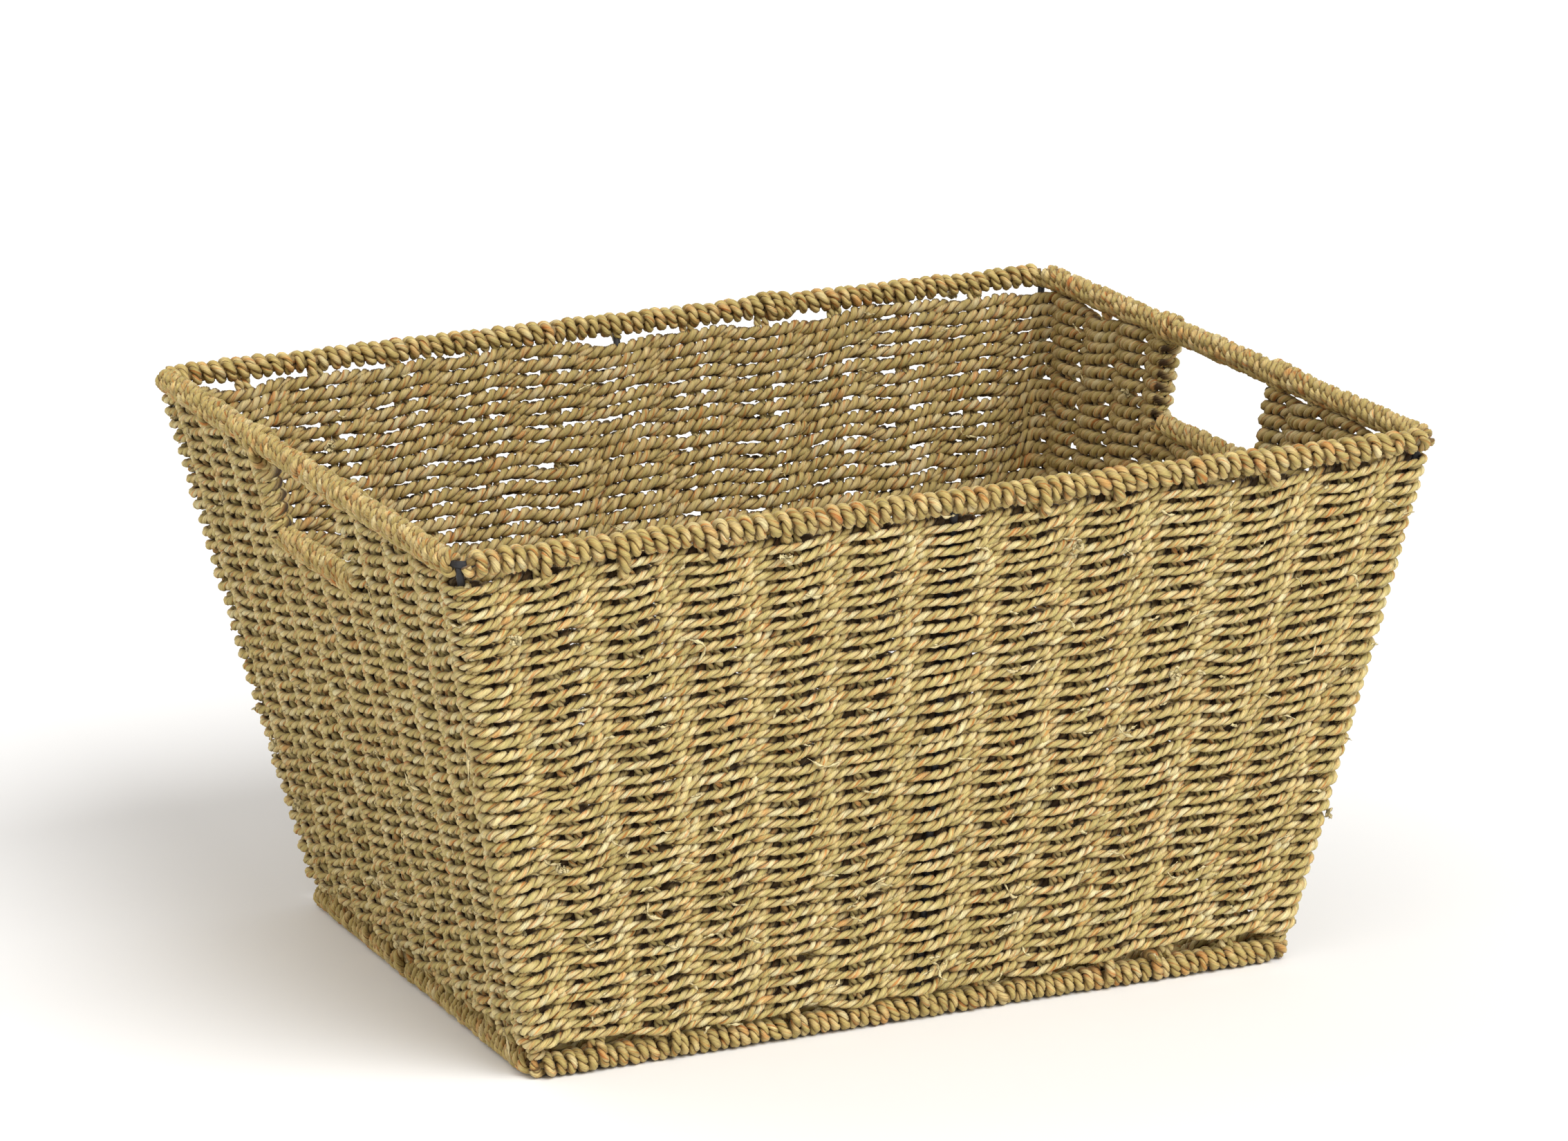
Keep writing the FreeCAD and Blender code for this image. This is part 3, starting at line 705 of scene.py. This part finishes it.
def seagrass(name, brown=0.0, seed=0.0, crease=0.84, bleach=0.0, painted_shade_tint=WHITE):
    """Dried seagrass cord: each ply its own tone, streaked along its fibres, with painted shade in the crease
    between them.

    It reads the Shade attribute, which paints shade on the cord, and the Fibre layout, whose u is millimetres
    along the cord and whose v goes from 0 to 2 round it, 1 for each ply.
    """
    n = Nodes(name)
    fibre = n.new("ShaderNodeUVMap", uv_map="Fibre").outputs[0]
    parts = n.new("ShaderNodeSeparateXYZ")
    n.link(fibre, parts.inputs[0])
    along, round_it = parts.outputs[0], parts.outputs[1]
    ply = n.math("FLOOR", round_it)
    across = n.math("FRACT", round_it)

    def blotch(length, offset):
        """A noise whose marks are that many millimetres long, and different on the two plies."""
        apart = 37.0
        place = n.vector(n.math("MULTIPLY", along, 1 / length), n.math("MULTIPLY", ply, apart), seed + offset)
        return n.noise(place, detail=1.0)

    def streaks(length, count, offset, detail=3.0):
        """A noise of lines along the cord, that many millimetres long and that many round it."""
        lines = n.math("MULTIPLY", round_it, count)
        place = n.vector(n.math("MULTIPLY", along, 1 / length), lines, seed + offset)
        return n.noise(place, detail=detail, roughness=0.6)

    long_blotches = n.math("MULTIPLY", blotch(36.0, 2.0), 0.6)
    short_blotches = n.math("MULTIPLY", blotch(8.0, 5.0), 0.4)
    tone = n.math("ADD", n.span(n.math("ADD", long_blotches, short_blotches), 0.3, 0.7), -brown)
    colour = n.ramp(tone, CORD_TONES)
    broad = streaks(6.0, 5.0, 1.0)
    fine = streaks(10.0, 17.0, 4.0)
    light = n.math("MULTIPLY", n.span(broad, 0.25, 0.75, 0.8, 1.12), n.span(fine, 0.25, 0.75, 0.76, 1.18))
    colour = n.mix(1.0, colour, n.vector(light, light, light), "MULTIPLY")
    stain = n.math("MULTIPLY", n.span(streaks(12.0, 3.0, 7.0, 2.0), 0.53, 0.7), 0.85)
    colour = n.mix(stain, colour, n.mix(1.0, colour, STAINED, "MULTIPLY"))
    colour = n.mix(n.span(streaks(9.0, 22.0, 9.0, 1.0), 0.58, 0.7, 0.0, 0.55), colour, RUST)
    if bleach:
        colour = n.mix(bleach, colour, BLEACHED)
    # painted shade in the crease between the plies
    edge = n.math("ABSOLUTE", n.math("SUBTRACT", across, 0.5))
    colour = n.mix(n.span(edge, 0.41, 0.5, 0.0, crease), colour, UMBER)
    # painted shade from the Shade attribute, and the lashings' warm painted shade
    shade = n.new("ShaderNodeAttribute", attribute_name="Shade").outputs["Fac"]
    dim = n.mix(1.0, painted_shade_tint, n.mix(shade, WHITE, DIMMED), "MULTIPLY")
    colour = n.mix(1.0, colour, dim, "MULTIPLY")
    colour = n.mix(n.span(shade, 0.42, 0.9, 0.0, 0.86), colour, DEEP)

    n.link(colour, n.shader.inputs["Base Color"])
    n.link(n.span(fine, 0.3, 0.7, 0.78, 0.56), n.shader.inputs["Roughness"])
    n.shader.inputs["Specular IOR Level"].default_value = 0.28
    n.shader.inputs["Sheen Weight"].default_value = 0.12
    n.shader.inputs["Sheen Roughness"].default_value = 0.4
    bump = n.new("ShaderNodeBump")
    bump.inputs["Strength"].default_value = 0.7
    bump.inputs["Distance"].default_value = 0.0005
    height = n.math("ADD", n.math("MULTIPLY", broad, 0.5), n.math("MULTIPLY", fine, 0.5))
    n.link(height, bump.inputs["Height"])
    n.link(bump.outputs[0], n.shader.inputs["Normal"])
    return n.material


def painted_wire(name):
    """Dark painted steel wire, a little scuffed."""
    n = Nodes(name)
    place = n.new("ShaderNodeTexCoord").outputs["Object"]
    cloud = n.noise(place, scale=260.0, detail=4.0)
    scuff = n.noise(place, scale=900.0, detail=3.0, roughness=0.7)
    colour = n.ramp(cloud, [(0.35, linear(34, 34, 36)), (0.65, linear(58, 58, 60))])
    colour = n.mix(n.span(scuff, 0.62, 0.75, 0.0, 0.5), colour, linear(120, 112, 104))
    n.link(colour, n.shader.inputs["Base Color"])
    n.link(n.span(cloud, 0.3, 0.7, 0.38, 0.6), n.shader.inputs["Roughness"])
    n.shader.inputs["Metallic"].default_value = 0.35
    bump = n.new("ShaderNodeBump")
    bump.inputs["Strength"].default_value = 0.3
    bump.inputs["Distance"].default_value = 0.0002
    n.link(scuff, bump.inputs["Height"])
    n.link(bump.outputs[0], n.shader.inputs["Normal"])
    return n.material


weft_material = seagrass("seagrass_weft")
lashing_material = seagrass("seagrass_lashing", brown=0.1, seed=11.0, painted_shade_tint=LASHING_PAINTED_SHADE)
stake_material = seagrass("seagrass_stake", brown=0.2, seed=23.0)
blade_material = seagrass("seagrass_blade", seed=31.0, crease=0.0, bleach=0.55)
wire_material = painted_wire("painted_wire")


# ---------------------------------------------------------------- the weave of the walls

WALL_WEAVES = ["front_weave", "back_weave", "left_weave_below", "right_weave_below"]


def row_height(number):
    """The middle of a row: the first ones ride up off the base lashing, and the higher ones lie closer."""
    share = (number + 0.5) / ROWS
    foot = WALL_FOOT + FOOT_GAP
    return foot + (WALL_HEAD - foot) * share * (1 + CROWDING * (1 - share))


whole_rows = [number for number in range(ROWS) if row_height(number) < UNDER_SLOT - WEFT_WIDTH / 2 + 1]
split_rows = [number for number in range(ROWS) if number > whole_rows[-1]]
for band, start in enumerate(range(0, len(whole_rows), ROWS_PER_BAND)):
    cords = CordMesh(seed=100 + band)
    for number in whole_rows[start:start + ROWS_PER_BAND]:
        whole_row(cords, row_height(number))
    cords.build(f"weft_band_{band + 1:02d}", WALL_WEAVES, weft_material)


def slot_posts(height):
    """Where the four slot posts stand along the loop: left front, right front, right back, left back."""
    total = loop_length(*half_sides(height))
    return SLOT_POST_Y, total / 2 - SLOT_POST_Y, total / 2 + SLOT_POST_Y, total - SLOT_POST_Y


for wall, posts in (("front", (0, 1)), ("back", (2, 3))):
    cords = CordMesh(seed=200 + posts[0])
    for number in split_rows:
        places = slot_posts(row_height(number))
        split_row(cords, row_height(number), places[posts[0]], places[posts[1]])
    nodes = [f"{wall}_weave", f"left_weave_{wall}", f"right_weave_{wall}"]
    cords.build(f"weft_beside_slots_{wall}", nodes, weft_material)


# ---------------------------------------------------------------- stakes and base

def doubled(cords, path, beside, up):
    """Two stake cords lying side by side along a path."""
    for side in (-1, 1):
        line = path + side * beside * STAKE_WIDTH * 0.47
        # painted shade on the stakes, which lie back in the wall between the rows
        cords.add(line, up, STAKE_WIDTH, lobe=STAKE_WIDTH * 1.1, shade=0.14)


def wall_side_path(upright, heights):
    """The line of an upright up the wall, with the directions along the wall and out of it."""
    points, normals = [], []
    for height in heights:
        place = upright_places(height)[upright:upright + 1]
        point, normal = on_wall(place, height)
        points.append(point[0])
        normals.append([normal[0][0], normal[0][1], 0.0])
    normals = np.array(normals)
    return np.array(points), np.cross(UP, normals), normals


BASE_MIDDLE = (BASE_WEAVE_LOW[2] + BASE_WEAVE_HIGH[2]) / 2
WARP_BEND = 9.0


def warp_path(front_upright, back_upright):
    """A warp's way down the front wall, under the base weave's cords and up the back wall."""
    heights = np.arange(RIM_Z - 2, BASE_MIDDLE + WARP_BEND, -3.0)
    down, _, _ = wall_side_path(front_upright, heights)
    rise, _, _ = wall_side_path(back_upright, heights[::-1])
    start, end = down[-1], rise[0]
    swing = np.linspace(0, math.pi / 2, 7)[1:, None]
    front_bend = start + WARP_BEND * ((1 - np.cos(swing)) * IN_Y - np.sin(swing) * UP)
    back_bend = end - WARP_BEND * ((1 - np.cos(swing)) * IN_Y) - WARP_BEND * np.sin(swing) * UP
    across = np.linspace(front_bend[-1], back_bend[-1], 60)[1:-1]
    return np.concatenate([down, front_bend, across, back_bend[::-1], rise])


front_uprights = np.arange(CORNER_POSTS[0] + 1, CORNER_POSTS[1])
back_uprights = np.arange(CORNER_POSTS[2] + 1, CORNER_POSTS[3])[::-1]
pairs = [pair for pair in zip(front_uprights, back_uprights) if pair[0] not in MIDDLE_WIRES]
for half, name in enumerate(("left", "right")):
    cords = CordMesh(seed=300 + half, outline=PLAIN_OUTLINE, rings_per_lobe=4)
    span = len(pairs) // 2
    for front, back in pairs[half * span:(half + 1) * span]:
        path = warp_path(front, back)
        doubled(cords, path, np.tile(IN_X, (len(path), 1)), np.cross(np.gradient(path, axis=0), IN_X))
    cords.build(f"warps_{name}", WARPS[half * span:(half + 1) * span], stake_material)

right_uprights = np.arange(CORNER_POSTS[1] + 1, CORNER_POSTS[2])
left_uprights = np.concatenate([np.arange(CORNER_POSTS[3] + 1, UPRIGHTS), np.arange(0, CORNER_POSTS[0])])
for name, uprights, nodes in (("left", left_uprights, LEFT_STAKES), ("right", right_uprights, RIGHT_STAKES)):
    cords = CordMesh(seed=320 + len(name), outline=PLAIN_OUTLINE, rings_per_lobe=4)
    for upright in uprights:
        y = on_wall(upright_places(BAR_Z)[upright:upright + 1], BAR_Z)[0][0][1]
        top = BAR_Z - 2 if abs(y) < SLOT_POST_Y else RIM_Z - 2
        path, beside, out = wall_side_path(upright, np.arange(BASE_Z + 2, top, 3.0))
        doubled(cords, path, beside, out)
    cords.build(f"stakes_{name}", nodes, stake_material)


def base_row(cords, y, stations):
    """A row of the base: one cord across, round the edge and back as the other.

    Its strays are those of a stretch of wall half-way up, other for each row.
    """
    wall_length = 1200.0
    places = np.linspace(stations[0], stations[-1], round((stations[-1] - stations[0]) / SAMPLE))
    angle = np.interp(places, stations, np.arange(len(stations))) * math.pi
    turns = (places - stations[0]) / wall_length + y / 300
    strays = unevenness(turns, np.full(len(places), 60 + y / 3)) + row_wander(cords.rng, turns)
    sides = []
    for cord in range(2):
        out, up = twine(angle + cord * math.pi)
        sides.append(np.stack([places, y - up + strays, BASE_MIDDLE + out], 1))
    path = there_and_back(*sides)
    # painted shade on the base's cords
    cords.add(path, np.tile(-IN_Y, (len(path), 1)), WEFT_WIDTH, closed=True, shade=BASE_SHADE)


base_half_y = BASE_HALF_Y - 5
base_rows = round(2 * base_half_y / ROW_PITCH)
base_edge = BASE_WEAVE_HIGH[0] - SWING - 1
base_stations = np.concatenate([
    [-base_edge], BASE_HALF_X * (2 * np.arange(1, LONG_SPACES) / LONG_SPACES - 1), [base_edge],
])
for part in range(3):
    cords = CordMesh(seed=400 + part, rings_per_lobe=4)
    for number in range(base_rows * part // 3, base_rows * (part + 1) // 3):
        base_row(cords, -base_half_y + 2 * base_half_y * (number + 0.5) / base_rows, base_stations)
    cords.build(f"base_weft_{part + 1}", ["base_weave"], weft_material)


# ---------------------------------------------------------------- lashings

def lashing(
    cords, stretch, low, loops=(), pitch=LASHING_PITCH, width=LASHING_WIDTH, reach=LASHING_REACH,
    core=CORE_WIDTH, shade=0.1,
):
    """A cord wound round a wire, each turn a little forward of the last, over a core strand that hides it.

    stretch is the wire's points, outward directions and distances, and low is how far the turns reach below
    it. Each of loops is a place where the turns reach further, to catch the nearest row, and how far down, or
    up if it is negative. core is the width of the core strand, 0 for none.
    """
    rng = cords.rng
    points, outward, along = stretch
    turns = (along - along[0]) / pitch
    angle = -TAU * turns
    knots = np.arange(math.ceil(turns[-1]) + 2)
    slack = np.interp(turns, knots, rng.uniform(-0.25, 0.6, len(knots)))
    skew = np.interp(turns, knots, rng.uniform(-1.3, 1.5, len(knots)))
    thick = np.interp(turns, knots, rng.uniform(0.84, 1.12, len(knots)))
    cos, sin = np.cos(angle), np.sin(angle)
    out = (reach + slack) * cos
    high = np.where(sin < 0, low, reach + slack) * sin
    for place, depth in loops:
        near = np.clip(1 - np.abs(along - place) / (pitch * 0.62), 0, 1)
        near = near * near * (3 - 2 * near)
        toward = sin * np.sign(depth)
        high = high - near * depth * np.clip(0.35 - toward, 0, 1.35) / 1.35
        out = out * (1 + 0.8 * near * np.clip(0.6 - toward, 0, 1))
    ahead = unit(np.gradient(points, axis=0))
    path = points + outward * out[:, None] + UP * high[:, None] + ahead * (skew * sin)[:, None]
    radial = outward * cos[:, None] + UP * sin[:, None]
    # shade is painted shade on the turns, and neighbours paints shade between the turns
    cords.add(path, radial, width, lobe=LASHING_LOBE, thick=thick, shade=shade, neighbours=ahead)
    if core:
        line = points[::20]
        # painted shade on the core strand, which lies deep between the turns
        cords.add(line, np.tile(UP, (len(line), 1)), core, lobe=CORE_LOBE, shade=CORE_SHADE)


def wire_stretch(first, last, half_x, half_y, height):
    """A loop's wire from first to last: its points, outward directions and distances along it."""
    along = np.linspace(first, last, round((last - first) * TURN_SAMPLES))
    points, normals = follow_loop(along, half_x, half_y)
    return np.concatenate([points, np.full((len(along), 1), height)], 1), level(normals), along


def wall_ends(half_x, half_y):
    """Where each wall's lashing begins and ends along the loop, at the middle of the corners."""
    flat_x, flat_y = half_x - CORNER, half_y - CORNER
    total = loop_length(half_x, half_y)
    front_left = flat_y + BEND / 2
    front_right = front_left + BEND + 2 * flat_x
    return {
        "front": (front_left, front_right),
        "right": (front_right, total - front_right),
        "back": (total - front_right, total - front_left),
        "left": (total - front_left, total + front_left),
    }


def catching_loops(rng, height, first, last, share):
    """Places beside some of the uprights where a lashing catches the nearest row, and how far it reaches."""
    uprights = upright_places(height)
    inside = uprights[(uprights > first + 15) & (uprights < last - 15)]
    return [(place + rng.uniform(-6, 6), rng.uniform(6, 9.5)) for place in inside if rng.random() < share]


def over_wrap(cords, first, turns=3):
    """A knot on the rim: a few larger turns on top of the lashing."""
    reach = LASHING_REACH + 1.5
    stretch = wire_stretch(first, first + turns * KNOT_PITCH, RIM_HALF_X, RIM_HALF_Y, RIM_Z)
    lashing(cords, stretch, reach, pitch=KNOT_PITCH, width=KNOT_WIDTH, reach=reach, core=0)


# how far each wall's lashing stops short of its two corners: the wire shows at the near-left one
BARE = {"front": (3.2, 0.5), "right": (0.5, 0.5), "back": (0.5, 0.5), "left": (0.5, 1.5)}
OVER_SLOT_POSTS = (-SLOT_POST_Y - 9, SLOT_POST_Y - 4)
RIM_KNOTS = {"front": (), "right": OVER_SLOT_POSTS, "back": (-86.0,), "left": OVER_SLOT_POSTS}
for number, (wall, (first, last)) in enumerate(wall_ends(RIM_HALF_X, RIM_HALF_Y).items()):
    cords = CordMesh(seed=500 + number)
    drops = catching_loops(cords.rng, RIM_Z, first, last, 0.6 if wall in ("front", "back") else 0.25)
    for knot in RIM_KNOTS[wall]:
        over_wrap(cords, (first + last) / 2 + knot)
    first, last = first + BARE[wall][0], last - BARE[wall][1]
    lashing(cords, wire_stretch(first, last, RIM_HALF_X, RIM_HALF_Y, RIM_Z), LASHING_REACH, drops)
    cords.build(f"rim_lashing_{wall}_cord", [f"rim_lashing_{wall}"], lashing_material)

for number, (wall, (first, last)) in enumerate(wall_ends(BASE_HALF_X, BASE_HALF_Y).items()):
    cords = CordMesh(seed=520 + number)
    lifts = [(place, -depth) for place, depth in catching_loops(cords.rng, BASE_Z, first, last, 0.6)]
    stretch = wire_stretch(first, last, BASE_HALF_X, BASE_HALF_Y, BASE_Z)
    lashing(
        cords, stretch, BASE_LASHING_DROP, lifts, BASE_LASHING_PITCH, BASE_LASHING_WIDTH, BASE_LASHING_REACH,
        core=BASE_CORE_WIDTH, shade=0.12,
    )
    cords.build(f"base_lashing_{wall}_cord", [f"base_lashing_{wall}"], lashing_material)

for number, (side, sign) in enumerate((("left", -1), ("right", 1))):
    cords = CordMesh(seed=540 + number)
    reach_y = SLOT_POST_Y - 3
    along = np.linspace(-reach_y, reach_y, round(2 * reach_y * TURN_SAMPLES))
    bar_x, _ = half_sides(BAR_Z)
    points = np.stack([np.full(len(along), sign * bar_x), sign * along, np.full(len(along), BAR_Z)], 1)
    outward = np.tile([float(sign), 0.0, 0.0], (len(along), 1))
    lashing(cords, (points, outward, along), LASHING_REACH)
    cords.build(f"handle_lashing_{side}_cord", [f"handle_lashing_{side}"], lashing_material)


def wrap_post(cords, foot, head, out, shade):
    """A thin cord wound closely round an upright wire, from foot to head."""
    heights = np.arange(foot[2], head[2], 0.14)
    line = foot + (head - foot) * ((heights - foot[2]) / (head[2] - foot[2]))[:, None]
    angle = TAU * heights / POST_WRAP_PITCH
    radial = out * np.cos(angle)[:, None] + np.cross(UP, out) * np.sin(angle)[:, None]
    cords.add(line + radial * (WIRE_RADIUS + 0.9), radial, POST_WRAP_WIDTH, lobe=POST_WRAP_LOBE, shade=shade)


def at_upright(place, height):
    """The point at that place along the loop and that height, and the outward direction there."""
    point, normal = on_wall(np.array([place]), height)
    return point[0], level(normal)[0]


cords = CordMesh(seed=560)
for post in CORNER_POSTS:
    foot, out = at_upright(upright_places(BASE_Z + 4)[post], BASE_Z + 4)
    head, _ = at_upright(upright_places(RIM_Z - 9)[post], RIM_Z - 9)
    wrap_post(cords, foot, head, out, 0.25)
for foot_place, head_place in zip(slot_posts(BAR_Z + 4), slot_posts(RIM_Z - 6)):
    foot, out = at_upright(foot_place, BAR_Z + 4)
    head, _ = at_upright(head_place, RIM_Z - 6)
    wrap_post(cords, foot, head, out, 0.1)
cords.build("post_wraps", [], weft_material)


# ---------------------------------------------------------------- loose ends

def blade(cords, start, out, heading, length, width, kink):
    """One loose end of grass lying close to the wall: it sets off along heading, and bends at its kink."""
    rng = cords.rng
    first = heading + out * rng.uniform(0.05, 0.35)
    first /= np.linalg.norm(first)
    then = first * math.cos(kink) + np.cross(out, first) * math.sin(kink) - out * rng.uniform(0, 0.25)
    bend = rng.uniform(0.3, 0.7)
    run = np.linspace(0, 1, 9)[:, None]
    path = start + length * (first * np.minimum(run, bend) + then * np.maximum(run - bend, 0))
    path[1:-1] += (path[2:] + path[:-2] - 2 * path[1:-1]) / 3
    ups = np.tile(out, (len(path), 1))
    cords.add(path, ups, width, lobe=length / 1.2, taper=length * 0.3, shade=rng.uniform(0, 0.3))


def wall_spot(rng, side):
    """A place on the walls' outside for side 1, or inside for side -1, with two directions there."""
    while True:
        height = rng.uniform(WALL_FOOT + 2, WALL_HEAD + 1)
        place = rng.uniform(0, loop_length(*half_sides(height)))
        point, normal = on_wall(np.array([place]), height, side * (SWING + WEFT_WIDTH * 0.42))
        if abs(point[0][1]) > SLOT_POST_Y + 4 or height < UNDER_SLOT - 4:
            out = side * level(normal)[0]
            return point[0], out, np.cross(UP, out)


def loose_grass(cords, side, ends, straws, tufts):
    """Short ends everywhere, a few long kinked straws, and tufts where one cord ends and the next begins."""
    rng = cords.rng
    for _ in range(ends):
        spot, out, beside = wall_spot(rng, side)
        heading = beside * rng.choice((-1, 1)) + UP * rng.uniform(-0.7, 0.7)
        blade(cords, spot, out, heading, rng.uniform(3, 9), rng.uniform(0.9, 1.9), rng.uniform(-1.2, 1.2))
    for _ in range(straws):
        spot, out, beside = wall_spot(rng, side)
        heading = beside * rng.choice((-1, 1)) + UP * rng.uniform(-0.5, 0.5)
        length, width = rng.uniform(11, 24), rng.uniform(1.3, 2.2)
        kink = rng.uniform(0.8, 2) * rng.choice((-1, 1))
        blade(cords, spot, out, heading, length, width, kink)
    for _ in range(tufts):
        spot, out, beside = wall_spot(rng, side)
        for turn in rng.uniform(0, TAU, 9):
            heading = beside * math.cos(turn) + UP * math.sin(turn) + out * 0.5
            root = spot + out * rng.uniform(0, 1.2)
            blade(cords, root, out, heading, rng.uniform(4, 7), rng.uniform(1.4, 2.6), 2.2)


cords = CordMesh(seed=600, outline=BLADE_OUTLINE, rings_per_lobe=4)
loose_grass(cords, 1, ends=520, straws=34, tufts=22)
loose_grass(cords, -1, ends=160, straws=14, tufts=8)
cords.build("loose_grass_ends", [], blade_material)

for name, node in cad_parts.items():
    if not node.hide_render:
        for material_slot in node.material_slots:
            material_slot.material = wire_material


# ---------------------------------------------------------------- studio

def studio():
    """A white floor, a soft key light from the front, two weak lights and a pale surround."""
    bpy.ops.mesh.primitive_plane_add(size=30, location=(0, 0, 0))
    floor = bpy.context.object
    floor.name = "floor"
    paper = Nodes("white_floor")
    paper.shader.inputs["Base Color"].default_value = (0.9, 0.9, 0.9, 1)
    paper.shader.inputs["Roughness"].default_value = 0.9
    floor.data.materials.append(paper.material)
    world = bpy.data.worlds.new("studio")
    world.use_nodes = True
    world.node_tree.nodes["Background"].inputs[0].default_value = (1.0, 1.0, 1.0, 1)
    world.node_tree.nodes["Background"].inputs[1].default_value = 0.48
    bpy.context.scene.world = world
    for name, toward, strength, spread, colour in (
        ("key", (0.32, -0.95, 0.95), 2.85, 40, (1.0, 1.0, 1.0)),
        ("fill", (-0.9, -0.6, 0.8), 0.55, 60, (1.0, 0.88, 0.74)),
        ("back", (-0.5, 0.9, 0.9), 0.6, 60, (1.0, 0.96, 0.9)),
    ):
        lamp = bpy.data.lights.new(name, "SUN")
        lamp.energy = strength
        lamp.color = colour
        lamp.angle = math.radians(spread)
        light = bpy.data.objects.new(name, lamp)
        light.rotation_euler = Vector(toward).to_track_quat("Z", "Y").to_euler()
        bpy.context.scene.collection.objects.link(light)
    bpy.context.scene.view_settings.view_transform = "Standard"


CAMERA_PLACE = (-1.0573, -2.5980, 0.8895)
CAMERA_AZIMUTH = math.radians(22.18)
CAMERA_TILT = math.radians(14.525)
CAMERA_ROLL = math.radians(-1.765)


def camera():
    """The photograph's view: from the front and a little to the left, looking down."""
    data = bpy.data.cameras.new("camera")
    data.lens = 154.0
    data.sensor_width = 36.0
    eye = bpy.data.objects.new("camera", data)
    heading = Matrix.Rotation(-CAMERA_AZIMUTH, 4, "Z")
    pitch = Matrix.Rotation(math.pi / 2 - CAMERA_TILT, 4, "X")
    roll = Matrix.Rotation(CAMERA_ROLL, 4, "Z")
    eye.matrix_world = Matrix.Translation(CAMERA_PLACE) @ heading @ pitch @ roll
    bpy.context.scene.collection.objects.link(eye)
    bpy.context.scene.camera = eye


studio()
camera()
